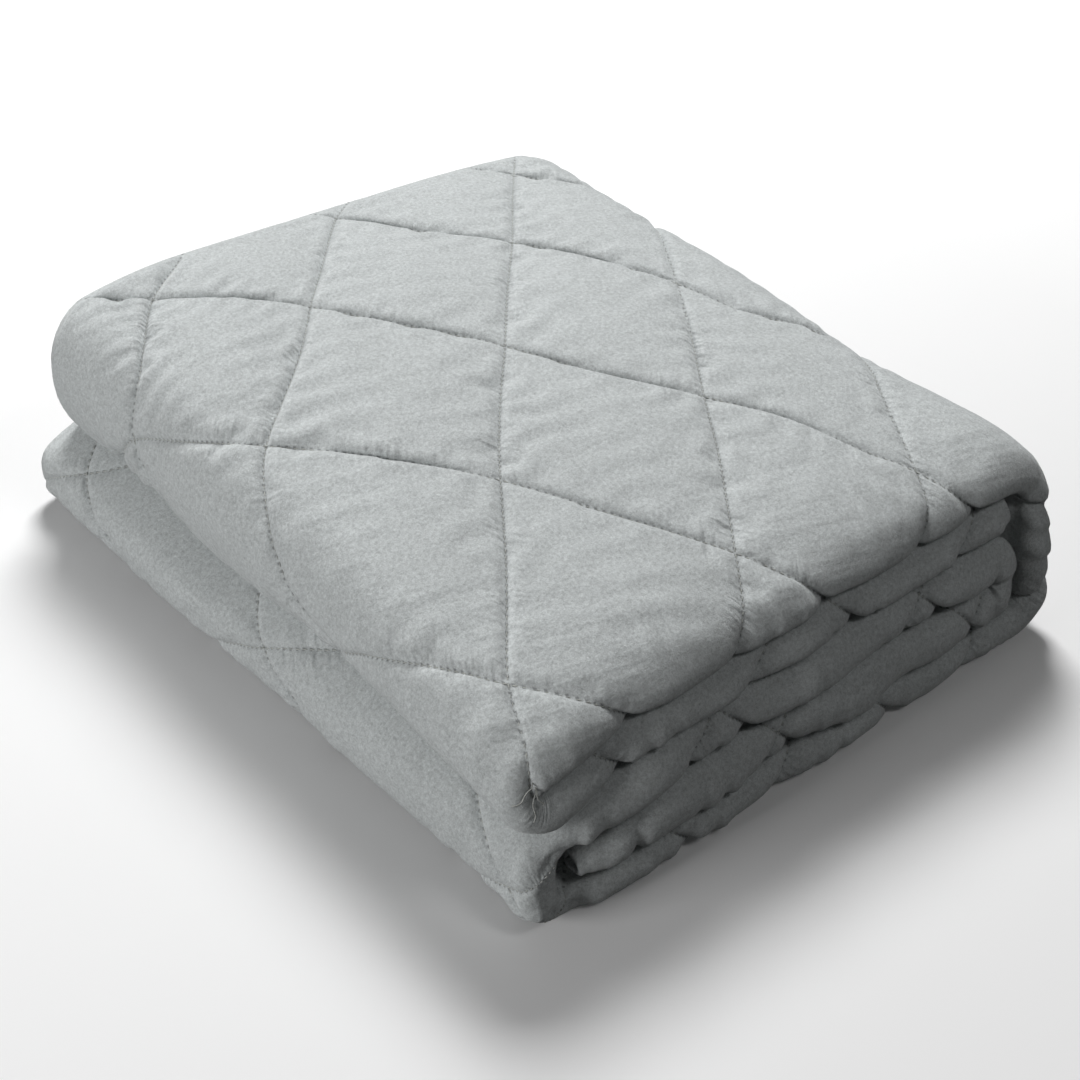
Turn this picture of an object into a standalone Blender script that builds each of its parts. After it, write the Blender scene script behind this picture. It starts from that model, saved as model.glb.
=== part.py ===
"""A quilted blanket, folded away flat.

The cloth is one sheet, 1.5 by 2.1 m. It is folded in thirds across its width, which makes a long band of
three plies. The band is then turned over on itself, so that five bands lie on each other: the base and the
pocket top make a lower packet with the band's tail inside it, the spine stands at the right, and the top and
the tuck make an upper packet. The sheet starts as a flat grid. Each of its points is carried along two routes,
one across the width and one along the length, and the folded sheet is then thickened and left to settle.

Metres, +Z up. The origin is at the middle of the footprint, on the surface that the blanket lies on.
X runs along the layered end, to the spine. Y runs along the rolled side, to the hemmed end.
"""

import math
from collections import namedtuple

import bmesh
import bpy

BUNDLE_X = 0.44  # from the rolled side to the spine, at the front
BUNDLE_Y = 0.508
PLY = 0.0076  # thickness of the quilted cloth
PLY_PITCH = 0.0093  # from one ply of a band to the next
BAND = 3 * PLY_PITCH  # from one band to the next
BAND_HALF = PLY_PITCH + PLY / 2
LEVELS = 5
STACK = LEVELS * BAND
TIGHT = BAND / 2  # turning radius of a band that folds flat on itself

# Across the width
TUCKED_EDGE = 0.004  # the tucked ply ends this far behind the front fold's middle
HEM_SET_BACK = 0.006  # the outer ply's hem ends this far short of the back

# Along the length
TAIL_X = 0.045  # where the tail starts, from the rolled side
TUCK_X = 0.395  # where the tuck ends, from the rolled side

RIGHT, LEFT = 1, -1
Fold = namedtuple("Fold", "name side reach from_level to_level first_radius last_radius")
FOLDS = (
    Fold("inner fold", RIGHT, 0.405, 1, 2, TIGHT, TIGHT),
    Fold("lower roll", LEFT, 0.000, 2, 0, 0.028, 0.017),
    Fold("spine", RIGHT, 0.440, 0, 4, 0.020, 0.036),
    Fold("upper roll", LEFT, 0.000, 4, 3, TIGHT, TIGHT),
)

# How the bands settle. The underside of each lies at this share of the stack's height: over the body of the
# bundle at its front and back, and along the rolled side at its front and back. Midway along that side it
# sags by a further share. Its front edge is set back.
Level = namedtuple("Level", "name front back roll_front roll_back roll_sag set_back")
LEVEL_TABLE = (
    Level("base", 0.00, 0.00, 0.00, 0.00, 0.00, 0.000),
    Level("tail", 0.20, 0.20, 0.18, 0.13, 0.00, 0.000),
    Level("pocket top", 0.45, 0.40, 0.38, 0.26, 0.02, 0.006),
    Level("tuck", 0.67, 0.59, 0.57, 0.38, 0.05, 0.014),
    Level("top", 0.84, 0.79, 0.79, 0.70, 0.01, 0.022),
    Level("upper face", 1.00, 1.00, 1.00, 1.00, 0.00, 0.028),
)
ROLL_BLEND = 0.12  # how far in from the rolled side its own shares still count

# Height of the stack inside its four edges
Height = namedtuple("Height", "name at_roll at_spine")
FRONT_HEIGHT = Height("front", 0.128, 0.141)
BACK_HEIGHT = Height("back", 0.160, 0.147)
CROWN = 0.016
CROWN_AT_SIDES, CROWN_AT_MIDDLE = 0.4, 1.0  # shares of it along the two sides and midway between them
ROLL_DROOP, ROLL_DROOP_REACH = 0.016, 0.09
FRONT_DROOP, FRONT_DROOP_REACH = 0.008, 0.05

# The lower roll lies askew: it reaches out past the upper roll towards the back
ROLL_SKEW = 0.028
SKEW_REACH = 0.25
SKEW_TOP, SKEW_FADE = 0.45, 0.25  # shares of the height up to which it counts, and over which it fades

# The upper roll swells out towards the back, and behind its front end the spine's upper edge gives way
ROLL_BULGE, BULGE_REACH = 0.010, 0.10
SPINE_DRAW, SPINE_DROOP = 0.011, 0.009
SPINE_START, SPINE_REACH = 0.16, 0.16

TURN_PIECES = 4  # pieces in each quarter turn
NEAR_PIECES = 2  # pieces in the short stretch beside a roll or a front fold
FAR_PIECES = 4
FRONT_STRETCH = 0.045
ROLL_STRETCH = 0.060

Move = namedtuple("Move", "length radius pieces")
Station = namedtuple("Station", "along across heading")


def run(length, pieces):
    return Move(length, 0.0, pieces)


def quarter(radius):
    return Move(radius * math.pi / 2, radius, TURN_PIECES)


def route(start, heading, turn, moves):
    """Stations along straight runs and quarter turns. turn is 1 for turns to the left and -1 to the right."""
    along, across = start
    stations = [Station(along, across, heading)]
    for move in moves:
        step = move.length / move.pieces
        for _ in range(move.pieces):
            bend = turn * step / move.radius if move.radius else 0.0
            chord = step * (math.sin(bend / 2) / (bend / 2) if bend else 1.0)
            along += chord * math.cos(heading + bend / 2)
            across += chord * math.sin(heading + bend / 2)
            heading += bend
            stations.append(Station(along, across, heading))
    return stations


def parted_run(length, near, near_first):
    """A straight run whose short stretch, at its start or its end, has the finer pieces."""
    parts = [run(near, NEAR_PIECES), run(length - near, FAR_PIECES)]
    return parts if near_first else parts[::-1]


def width_route():
    """Across the width: the tucked ply, the back fold, the inner ply, the front fold and the outer ply."""
    front_middle = PLY_PITCH + PLY / 2
    back_middle = BUNDLE_Y - PLY_PITCH / 2 - PLY / 2
    tucked_start = front_middle + TUCKED_EDGE
    moves = parted_run(back_middle - tucked_start, FRONT_STRETCH, True)
    moves += [quarter(PLY_PITCH / 2), quarter(PLY_PITCH / 2)]
    moves += parted_run(back_middle - front_middle, FRONT_STRETCH, False)
    moves += [quarter(PLY_PITCH), quarter(PLY_PITCH)]
    moves += parted_run(BUNDLE_Y - HEM_SET_BACK - front_middle, FRONT_STRETCH, True)
    return route((tucked_start, 0.0), 0.0, -1, moves)


def level_height(level):
    return (level + 0.5) * BAND - (PLY_PITCH - PLY) / 2


def length_route():
    """Along the length: from the tail's free end, through the four folds, to the end of the tuck."""
    x = TAIL_X
    moves = []
    for fold in FOLDS:
        first_x = fold.reach - fold.side * (BAND_HALF + fold.first_radius)
        last_x = fold.reach - fold.side * (BAND_HALF + fold.last_radius)
        rise = abs(fold.to_level - fold.from_level) * BAND
        moves += parted_run(abs(first_x - x), ROLL_STRETCH, fold.side == RIGHT)
        moves.append(quarter(fold.first_radius))
        if fold.first_radius > TIGHT:
            moves.append(run(rise - fold.first_radius - fold.last_radius, NEAR_PIECES))
        moves.append(quarter(fold.last_radius))
        x = last_x
    moves += parted_run(TUCK_X - x, ROLL_STRETCH, True)
    return route((TAIL_X, level_height(FOLDS[0].from_level)), 0.0, 1, moves)


def mix(a, b, part):
    return a + (b - a) * part


def ease(part):
    part = min(max(part, 0.0), 1.0)
    return part * part * (3 - 2 * part)


def near_edge(distance, reach):
    """1 at an edge, falling smoothly to 0 at the reach."""
    return max(0.0, 1 - max(distance, 0.0) / reach) ** 2


def bow(part):
    """0 at both ends and 1 midway."""
    return 4 * part * (1 - part)


def stack_height(x, y):
    """Height of the whole stack above the point x, y of the footprint."""
    ahead, across = y / BUNDLE_Y, x / BUNDLE_X
    front = mix(FRONT_HEIGHT.at_roll, FRONT_HEIGHT.at_spine, across)
    back = mix(BACK_HEIGHT.at_roll, BACK_HEIGHT.at_spine, across)
    height = mix(front, back, ahead)
    crown = mix(CROWN_AT_SIDES, CROWN_AT_MIDDLE, bow(across))
    height += CROWN * bow(ahead) * crown
    height -= ROLL_DROOP * near_edge(x, ROLL_DROOP_REACH)
    height -= SPINE_DROOP * ease(y / SPINE_START) * near_edge(BUNDLE_X - x, SPINE_REACH)
    height -= FRONT_DROOP * near_edge(y, FRONT_DROOP_REACH)
    return height


def level_share(level, x, y):
    ahead = ease(y / BUNDLE_Y)
    body = mix(level.front, level.back, ahead)
    roll = mix(level.roll_front, level.roll_back, ahead) - level.roll_sag * bow(ahead)
    return mix(roll, body, ease(x / ROLL_BLEND))


def settle(x, y, z):
    """Where a point of the evenly folded stack comes to lie under the cloth's own weight."""
    depth = min(max(z / STACK, 0.0), 1.0)
    below = min(int(depth * LEVELS), LEVELS - 1)
    part = depth * LEVELS - below
    lower, upper = LEVEL_TABLE[below], LEVEL_TABLE[below + 1]
    share = mix(level_share(lower, x, y), level_share(upper, x, y), part)
    set_back = mix(lower.set_back, upper.set_back, part) * (1 - y / BUNDLE_Y)
    upper = ease((depth - SKEW_TOP) / SKEW_FADE)
    skew = ROLL_SKEW * ease(y / BUNDLE_Y) * near_edge(x, SKEW_REACH) * (1 - upper)
    bulge = ROLL_BULGE * ease(y / BUNDLE_Y) * near_edge(x, BULGE_REACH) * upper
    drawn = SPINE_DRAW * ease(y / SPINE_START) * near_edge(BUNDLE_X - x, SPINE_REACH) * ease(2 * depth)
    return x - skew - bulge - drawn, y + set_back, share * stack_height(x, y)


def folded_sheet():
    """The sheet's middle surface: a flat grid whose points are carried to their folded places."""
    across = width_route()
    along = length_route()
    sheet = bmesh.new()
    bmesh.ops.create_grid(sheet, x_segments=len(along) - 1, y_segments=len(across) - 1, size=1.0)
    for point in sheet.verts:
        column = round((point.co.x + 1) / 2 * (len(along) - 1))
        row = round((point.co.y + 1) / 2 * (len(across) - 1))
        length_at, width_at = along[column], across[row]
        outward = (math.sin(length_at.heading), -math.cos(length_at.heading))
        point.co.x = length_at.along + width_at.across * outward[0]
        point.co.y = width_at.along
        point.co.z = length_at.across + width_at.across * outward[1]
    return sheet


def fabric():
    material = bpy.data.materials.new("brushed microfibre")
    material.use_nodes = True
    shader = material.node_tree.nodes["Principled BSDF"]
    shader.inputs["Base Color"].default_value = (0.50, 0.53, 0.51, 1.0)
    shader.inputs["Roughness"].default_value = 0.9
    shader.inputs["Metallic"].default_value = 0.0
    return material


def build_quilt(collection):
    sheet = folded_sheet()
    mesh = bpy.data.meshes.new("quilt sheet")
    sheet.to_mesh(mesh)
    sheet.free()
    flat = bpy.data.objects.new("quilt sheet", mesh)
    collection.objects.link(flat)
    thicken = flat.modifiers.new("ply", "SOLIDIFY")
    thicken.thickness = PLY
    thicken.offset = 0.0
    bpy.context.view_layer.update()
    evaluated = flat.evaluated_get(bpy.context.evaluated_depsgraph_get())
    settled = bpy.data.meshes.new_from_object(evaluated)
    bpy.data.objects.remove(flat)
    for vertex in settled.vertices:
        x, y, z = settle(*vertex.co)
        vertex.co = (x - (BUNDLE_X - ROLL_SKEW) / 2, y - BUNDLE_Y / 2, z)
    quilt = bpy.data.objects.new("quilt", settled)
    settled.materials.clear()
    settled.materials.append(fabric())
    settled.shade_smooth()
    collection.objects.link(quilt)
    return quilt


for leftover in list(bpy.data.objects):
    bpy.data.objects.remove(leftover)
blanket = bpy.data.collections.new("quilted blanket")
bpy.context.scene.collection.children.link(blanket)
build_quilt(blanket)
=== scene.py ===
"""A quilted blanket, folded away flat: one sheet of diamond-quilted microfibre, 15 plies high.

The quilting is made first, diamond by diamond, with the cloth puffing up between seams that hold it down.
The sheet is then folded along the same two routes as its solid: in thirds across the width, and over on
itself along the length. Metres, +Z up, X along the layered end and Y along the rolled side.
"""

import math
from collections import namedtuple

import bpy
import numpy as np
from mathutils import Matrix, Vector
from mathutils.geometry import delaunay_2d_cdt


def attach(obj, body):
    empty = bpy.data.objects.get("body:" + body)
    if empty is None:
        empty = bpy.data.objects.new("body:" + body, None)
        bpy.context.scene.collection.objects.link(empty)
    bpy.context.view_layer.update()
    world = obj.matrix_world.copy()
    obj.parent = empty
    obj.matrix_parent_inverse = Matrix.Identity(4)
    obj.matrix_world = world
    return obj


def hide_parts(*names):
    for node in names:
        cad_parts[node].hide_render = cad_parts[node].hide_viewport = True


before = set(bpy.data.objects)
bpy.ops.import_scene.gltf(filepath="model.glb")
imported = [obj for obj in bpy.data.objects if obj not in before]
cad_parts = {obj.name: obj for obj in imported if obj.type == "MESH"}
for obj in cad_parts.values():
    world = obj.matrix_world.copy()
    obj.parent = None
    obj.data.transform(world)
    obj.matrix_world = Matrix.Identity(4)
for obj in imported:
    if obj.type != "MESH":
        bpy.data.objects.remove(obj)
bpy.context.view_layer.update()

# ---- Camera ----------------------------------------------------------

CAMERA_PLACE = (-0.6007, -0.6774, 0.7719)
CAMERA_AZIMUTH, CAMERA_ELEVATION, CAMERA_ROLL = -41.925, 39.879, 3.731  # degrees
CAMERA_LENS = 58.15  # mm, on a sensor 36 mm wide


def put_in_scene(name, data):
    made = bpy.data.objects.new(name, data)
    bpy.context.scene.collection.objects.link(made)
    return made


def place_camera():
    data = bpy.data.cameras.new("camera")
    data.lens = CAMERA_LENS
    data.sensor_width = 36.0
    camera = put_in_scene("camera", data)
    turn = Matrix.Rotation(math.radians(CAMERA_AZIMUTH), 4, "Z")
    lean = Matrix.Rotation(math.radians(90 - CAMERA_ELEVATION), 4, "X")
    roll = Matrix.Rotation(math.radians(CAMERA_ROLL), 4, "Z")
    camera.matrix_world = Matrix.Translation(CAMERA_PLACE) @ turn @ lean @ roll
    bpy.context.scene.camera = camera


# ---- Sizes of the folded sheet ---------------------------------------

BUNDLE_X = 0.44  # from the rolled side to the spine, at the front
BUNDLE_Y = 0.508
PLY = 0.0076
PLY_PITCH = 0.0093
BAND = 3 * PLY_PITCH
BAND_HALF = PLY_PITCH + PLY / 2
LEVELS = 5
STACK = LEVELS * BAND
TIGHT = BAND / 2  # turning radius of a band that folds flat on itself
TUCKED_EDGE = 0.004
HEM_SET_BACK = 0.006
TAIL_X = 0.045
TUCK_X = 0.395
FRONT_MIDDLE = PLY_PITCH + PLY / 2
BACK_MIDDLE = BUNDLE_Y - PLY_PITCH / 2 - PLY / 2

RIGHT, LEFT = 1, -1
Fold = namedtuple("Fold", "name side reach from_level to_level first_radius last_radius")
FOLDS = (
    Fold("inner fold", RIGHT, 0.405, 1, 2, TIGHT, TIGHT),
    Fold("lower roll", LEFT, 0.000, 2, 0, 0.028, 0.017),
    Fold("spine", RIGHT, 0.440, 0, 4, 0.020, 0.036),
    Fold("upper roll", LEFT, 0.000, 4, 3, TIGHT, TIGHT),
)

# Share of the stack's height at each band's underside, over the body at its front and back and along the
# rolled side at its front and back; how far it sags midway along the rolls, and how uneven it is, as shares;
# and how far its front edge is set back, and how uneven that is, in metres.
LEVEL_TABLE = np.array([
    [0.00, 0.00, 0.00, 0.00, 0.00, 0.000, 0.000, 0.0010],  # base
    [0.20, 0.20, 0.18, 0.13, 0.00, 0.012, 0.000, 0.0025],  # tail
    [0.45, 0.40, 0.38, 0.26, 0.02, 0.014, 0.006, 0.0020],  # pocket top
    [0.67, 0.59, 0.57, 0.38, 0.05, 0.012, 0.014, 0.0020],  # tuck
    [0.84, 0.79, 0.79, 0.70, 0.01, 0.008, 0.022, 0.0012],  # top
    [1.00, 1.00, 1.00, 1.00, 0.00, 0.000, 0.028, 0.0012],  # upper face
])
SHARES, (ROLL_SAGS, LEVEL_WAVE, SET_BACKS, EDGE_WAVE) = LEVEL_TABLE[:, :4], LEVEL_TABLE[:, 4:].T
ROLL_BLEND = 0.12
FRONT_HEIGHT, BACK_HEIGHT = (0.128, 0.141), (0.160, 0.147)  # at the rolled side and at the spine
CROWN, CROWN_AT_SIDES, CROWN_BETWEEN = 0.016, 0.4, 2.4
ROLL_DROOP, ROLL_DROOP_REACH = 0.016, 0.09
FRONT_DROOP, FRONT_DROOP_REACH = 0.008, 0.05
ROLL_SKEW = 0.028
SKEW_REACH = 0.25
SKEW_TOP, SKEW_FADE = 0.45, 0.25
ROLL_BULGE, BULGE_REACH = 0.010, 0.10  # how far the upper roll swells out at the back
SPINE_DRAW, SPINE_DROOP = 0.011, 0.009  # how far the spine's upper edge gives way behind its front end
SPINE_START, SPINE_REACH = 0.16, 0.16
CENTRE = np.array([(BUNDLE_X - ROLL_SKEW) / 2, BUNDLE_Y / 2, 0.0])

# ---- The two routes --------------------------------------------------

Turn = namedtuple("Turn", "start along across heading curve")


class Route:
    """A way along straight runs and quarter turns. turn is 1 for turns to the left and -1 to the right."""

    def __init__(self, start, heading, turn, moves):
        along, across = start
        distance = 0.0
        turns = []
        for length, radius in moves:
            curve = turn / radius if radius else 0.0
            turns.append(Turn(distance, along, across, heading, curve))
            if curve:
                end = heading + curve * length
                along += (math.sin(end) - math.sin(heading)) / curve
                across += (math.cos(heading) - math.cos(end)) / curve
                heading = end
            else:
                along += length * math.cos(heading)
                across += length * math.sin(heading)
            distance += length
        self.turns = np.array(turns)
        self.marks = [turn.start for turn in turns] + [distance]

    def at(self, distance):
        """Place along and across, and heading, at each distance."""
        distance = np.asarray(distance, float)
        index = np.searchsorted(self.turns[:, 0], distance, side="right") - 1
        start, along, across, heading, curve = self.turns[np.clip(index, 0, len(self.turns) - 1)].T
        beyond = distance - start
        straight = curve == 0
        safe = np.where(straight, 1.0, curve)
        end = heading + curve * beyond
        along = along + np.where(straight, beyond * np.cos(heading), (np.sin(end) - np.sin(heading)) / safe)
        across = across + np.where(straight, beyond * np.sin(heading), (np.cos(heading) - np.cos(end)) / safe)
        return along, across, end

    def skin_length(self, offset):
        """Distances along the route, and the lengths up to them of a surface at this offset outside it."""
        distance = np.linspace(0, self.marks[-1], 4001)
        middle = (distance[1:] + distance[:-1]) / 2
        index = np.searchsorted(self.turns[:, 0], middle, side="right") - 1
        stretch = 1 + np.abs(self.turns[index, 4]) * offset
        return distance, np.concatenate([[0.0], np.cumsum(stretch * np.diff(distance))])


def run(length):
    return (length, 0.0)


def quarter(radius):
    return (radius * math.pi / 2, radius)


def width_route():
    """The tucked ply, the back fold, the inner ply, the front fold and the outer ply."""
    tucked_start = FRONT_MIDDLE + TUCKED_EDGE
    moves = [run(BACK_MIDDLE - tucked_start), quarter(PLY_PITCH / 2), quarter(PLY_PITCH / 2)]
    moves += [run(BACK_MIDDLE - FRONT_MIDDLE), quarter(PLY_PITCH), quarter(PLY_PITCH)]
    moves.append(run(BUNDLE_Y - HEM_SET_BACK - FRONT_MIDDLE))
    return Route((tucked_start, 0.0), 0.0, -1, moves)


def length_route():
    """From the tail's free end, through the four folds, to the end of the tuck."""
    x = TAIL_X
    moves = []
    for fold in FOLDS:
        first_x = fold.reach - fold.side * (BAND_HALF + fold.first_radius)
        last_x = fold.reach - fold.side * (BAND_HALF + fold.last_radius)
        rise = abs(fold.to_level - fold.from_level) * BAND
        upright = rise - fold.first_radius - fold.last_radius
        moves += [run(abs(first_x - x)), quarter(fold.first_radius)]
        if fold.first_radius > TIGHT:
            moves.append(run(upright))
        moves.append(quarter(fold.last_radius))
        x = last_x
    moves.append(run(TUCK_X - x))
    start_height = 1.5 * BAND - (PLY_PITCH - PLY) / 2
    return Route((TAIL_X, start_height), 0.0, 1, moves)


ACROSS = width_route()
ALONG = length_route()
TUCKED, BACK_FOLD, _, INNER, FRONT_FOLD, _, OUTER, HEM = ACROSS.marks
(TAIL_END, INNER_FOLD, _, POCKET, LOWER_ROLL, _, _, BASE, SPINE, _, _, TOP, UPPER_ROLL, _, TUCK,
 TUCK_END) = ALONG.marks

# ---- How the bands settle --------------------------------------------


def mix(a, b, part):
    return a + (b - a) * part


def ease(part):
    part = np.clip(part, 0.0, 1.0)
    return part * part * (3 - 2 * part)


def within(values, low, high):
    return (values >= low) & (values <= high)


def near_edge(distance, reach):
    """1 at an edge, falling smoothly to 0 at the reach."""
    return np.maximum(0.0, 1 - np.maximum(distance, 0.0) / reach) ** 2


def waves(t, seed, shortest, longest, count=7):
    """A smooth uneven line between about -1 and 1 along t, with waves of these lengths."""
    dice = np.random.default_rng(seed)
    total = 0.0
    for _ in range(count):
        length = dice.uniform(shortest, longest)
        total = total + np.sin(2 * np.pi * (t / length + dice.random()))
    return total / math.sqrt(count)


def stack_height(x, y):
    ahead, across = y / BUNDLE_Y, x / BUNDLE_X
    height = mix(mix(*FRONT_HEIGHT, across), mix(*BACK_HEIGHT, across), ahead)
    crown = CROWN_AT_SIDES + CROWN_BETWEEN * across * (1 - across)
    height = height + CROWN * 4 * ahead * (1 - ahead) * crown
    height = height - ROLL_DROOP * near_edge(x, ROLL_DROOP_REACH)
    height = height - SPINE_DROOP * ease(y / SPINE_START) * near_edge(BUNDLE_X - x, SPINE_REACH)
    return height - FRONT_DROOP * near_edge(y, FRONT_DROOP_REACH)


# The first seed of each row of waves, and those of the wrinkles beside the folds.
FRONT_SEED, ROLL_SEED, SET_BACK_SEED = 20, 40, 60
GATHER_SEED, GATHER_PATCH_SEED, SWELL_SEED = 80, 81, 83


def level_share(level, x, y):
    ahead = ease(y / BUNDLE_Y)
    front, back, roll_front, roll_back = SHARES[level].T
    body = mix(front, back, ahead)
    roll = mix(roll_front, roll_back, ahead) - ROLL_SAGS[level] * 4 * ahead * (1 - ahead)
    share = mix(roll, body, ease(x / ROLL_BLEND))
    uneven = np.zeros_like(share)
    for number in range(1, LEVELS):
        wave = waves(x, FRONT_SEED + number, 0.05, 0.19) * near_edge(y, 0.30)
        wave = wave + waves(y, ROLL_SEED + number, 0.08, 0.25) * near_edge(x, 0.15)
        uneven = np.where(level == number, LEVEL_WAVE[number] * wave, uneven)
    return share + uneven


def level_set_back(level, x, y):
    uneven = np.zeros_like(x)
    for number in range(LEVELS + 1):
        wave = waves(x, SET_BACK_SEED + number, 0.04, 0.16)
        uneven = np.where(level == number, EDGE_WAVE[number] * wave, uneven)
    return SET_BACKS[level] * (1 - y / BUNDLE_Y) + uneven * near_edge(y, 0.10)


def settle(x, y, z):
    """Where points of the evenly folded stack come to lie under the cloth's own weight."""
    depth = np.clip(z / STACK, 0.0, 1.0)
    below = np.minimum((depth * LEVELS).astype(int), LEVELS - 1)
    part = depth * LEVELS - below
    share = mix(level_share(below, x, y), level_share(below + 1, x, y), part)
    set_back = mix(level_set_back(below, x, y), level_set_back(below + 1, x, y), part)
    skew = ROLL_SKEW * ease(y / BUNDLE_Y) * near_edge(x, SKEW_REACH)
    below_roll = 1 - ease((depth - SKEW_TOP) / SKEW_FADE)
    bulge = ROLL_BULGE * ease(y / BUNDLE_Y) * near_edge(x, BULGE_REACH) * (1 - below_roll)
    drawn = SPINE_DRAW * ease(y / SPINE_START) * near_edge(BUNDLE_X - x, SPINE_REACH) * ease(2 * depth)
    skew = skew * below_roll + bulge + drawn
    height = share * stack_height(x, y) + np.maximum(z - STACK, 0.0)
    return np.stack([x - skew, y + set_back, height], -1)


TAB_OUT, TAB_LENGTH, TAB_WIDTH = 0.007, 0.028, 0.030  # the corner of the tail that sticks out of the pocket
TAB_DROP, TAB_THIN = 0.003, 0.45
NECK, NECK_DEPTH, NECK_REACH = 0.030, 0.0045, 0.0035  # where a seam draws it in


def folded(along, across, offset):
    """Where points at this offset to the outside of the sheet's middle come to lie."""
    x, z, lengthwise = ALONG.at(along)
    y, level, widthwise = ACROSS.at(across)
    at_front = 1 - ease((y - TAB_WIDTH / 2) / (TAB_WIDTH / 2))
    tab = at_front * (1 - ease((along - TAB_LENGTH * 0.7) / (TAB_LENGTH * 0.3)))
    x = x - TAB_OUT * tab
    z = z - TAB_DROP * tab
    level = level * (1 - TAB_THIN * tab)
    neck = NECK_DEPTH * at_front * np.exp(-((along - NECK) / NECK_REACH) ** 2)
    offset = offset - np.sign(offset) * np.minimum(neck, np.abs(offset))
    level = level + offset * np.cos(widthwise)
    y = y - offset * np.sin(widthwise)
    return settle(x + level * np.sin(lengthwise), y, z - level * np.cos(lengthwise)) - CENTRE


# ---- The quilting pattern --------------------------------------------

# Cloth places: u runs along the length, and is x on the top; v runs across the width, and is y on the top.
TOP_SET_BACK = 0.025
ALONG_KEYS, SKIN_KEYS = ALONG.skin_length(BAND_HALF)
U_KEYS = (BAND_HALF + TIGHT) + np.interp(UPPER_ROLL, ALONG_KEYS, SKIN_KEYS) - SKIN_KEYS
ACROSS_KEYS, SKIN_ACROSS_KEYS = ACROSS.skin_length(PLY / 2)
FRONT_V = mix(TOP_SET_BACK, BUNDLE_Y, FRONT_MIDDLE / BUNDLE_Y)
PLAIN_V = SKIN_ACROSS_KEYS - np.interp(OUTER, ACROSS_KEYS, SKIN_ACROSS_KEYS)
V_KEYS = FRONT_V + np.where(PLAIN_V > 0, PLAIN_V * (1 - TOP_SET_BACK / BUNDLE_Y), PLAIN_V)


def cloth_place(along, across):
    return np.interp(along, ALONG_KEYS, U_KEYS), np.interp(across, ACROSS_KEYS, V_KEYS)


def route_place(u, v):
    return np.interp(-u, -U_KEYS, ALONG_KEYS), np.interp(v, V_KEYS, ACROSS_KEYS)


# Seams of one family are where the first count is whole, and of the other where the second is. Each row is a
# seam's count and cloth places (u, v) that it runs through, in tenths of a millimetre. Between and beyond
# them the counts are smooth.
SEAM_SPACING = 0.124
SEAM_SIDE = 0.127
FIRST_SEAMS = (
    (2, ((3631, 4735), (4127, 4246))),
    (1, ((1991, 5023), (2482, 4300), (2882, 3844), (3276, 3256), (3529, 2838), (3675, 2348),
        (4173, 1837))),
    (0, ((277, 4974), (535, 4670), (1231, 3996), (1552, 3523), (2020, 2848), (2278, 2359),
        (2735, 1756), (3062, 1272), (3193, 924), (3388, 559), (3485, 317))),
    (-1, ((-117, 4001), (15, 3637), (110, 3387), (214, 3169), (345, 2995), (837, 2316), (1202, 1864),
        (1548, 1288), (1957, 663), (2088, 445), (2215, 261))),
    (-2, ((-126, 1603), (-3, 1337), (148, 1043), (335, 706), (588, 402), (710, 253))),
    (5, ((10124, 2751), (10297, 2545), (10504, 2153))),
    (6, ((10091, 4867), (10356, 4622), (10484, 4455))),
    (-4, ((-2792, 170),)),
    (3, ((8810, 18),)),
)
SECOND_SEAMS = (
    (2, ((900, 4942), (535, 4670), (340, 4366), (176, 4132), (44, 4012), (-117, 4001))),
    (1, ((2331, 5023), (2117, 4887), (1285, 3958), (345, 2995), (72, 2593), (-32, 2441), (-211, 2196),
        (-221, 1881))),
    (0, ((2882, 3844), (2020, 2848), (1202, 1864), (335, 706), (261, 532), (204, 385), (119, 229),
        (-249, 84))),
    (-1, ((4027, 3512), (3529, 2838), (2735, 1756), (2424, 1288), (1957, 663), (1660, 221))),
    (-2, ((4107, 1560), (3748, 1125), (3388, 559), (3256, 309))),
    (-5, ((10258, 2604),)),
    (-6, ((10422, 811), (10258, 654), (10091, 537))),
    (1, ((-2017, 200),)),
    (-7, ((11477, 50),)),
)
TENTHS = 10000  # tenths of a millimetre in a metre
MARK_SLACK = 0.02
SPREAD_SCALE = 0.2
DIAMOND_LENGTH, DIAMOND_WIDTH = 0.157, 0.2  # from corner to corner
FLAT_STEPS = np.array([[1 / DIAMOND_LENGTH, 1 / DIAMOND_WIDTH], [-1 / DIAMOND_LENGTH, 1 / DIAMOND_WIDTH]])
STEPS_BACK = np.linalg.inv(FLAT_STEPS).T  # from a change of the counts to a plain change of u and v
PATTERN_MIDDLE = np.array([0.2, 0.285])  # where both counts are about 0
SEARCH_SHARE, SEARCH_STEPS = 0.85, 14
SHEET_MARGIN = 0.2


def spread(places, marks):
    squares = ((places[:, None] - marks[None]) ** 2).sum(-1) / SPREAD_SCALE ** 2
    return squares * np.log(squares + 1e-12)


def smooth_through(seams):
    """The marks' places, and the weights of the smoothest surface through their counts."""
    seams = np.array([(count, u / TENTHS, v / TENTHS) for count, places in seams for u, v in places])
    marks = seams[:, 1:]
    plane = np.concatenate([np.ones((len(marks), 1)), marks], 1)
    pull = spread(marks, marks) + MARK_SLACK * np.eye(len(marks))
    both = np.block([[pull, plane], [plane.T, np.zeros((3, 3))]])
    return marks, np.linalg.solve(both, np.concatenate([seams[:, 0], np.zeros(3)]))


SEAM_SURFACES = [smooth_through(FIRST_SEAMS), smooth_through(SECOND_SEAMS)]


def seam_counts(u, v):
    places = np.stack([u, v], -1)
    counts = []
    for marks, weights in SEAM_SURFACES:
        counts.append(spread(places, marks) @ weights[:-3] + weights[-3] + places @ weights[-2:])
    return np.stack(counts, -1)


def rough_place(counts):
    return PATTERN_MIDDLE + counts @ STEPS_BACK


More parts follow.
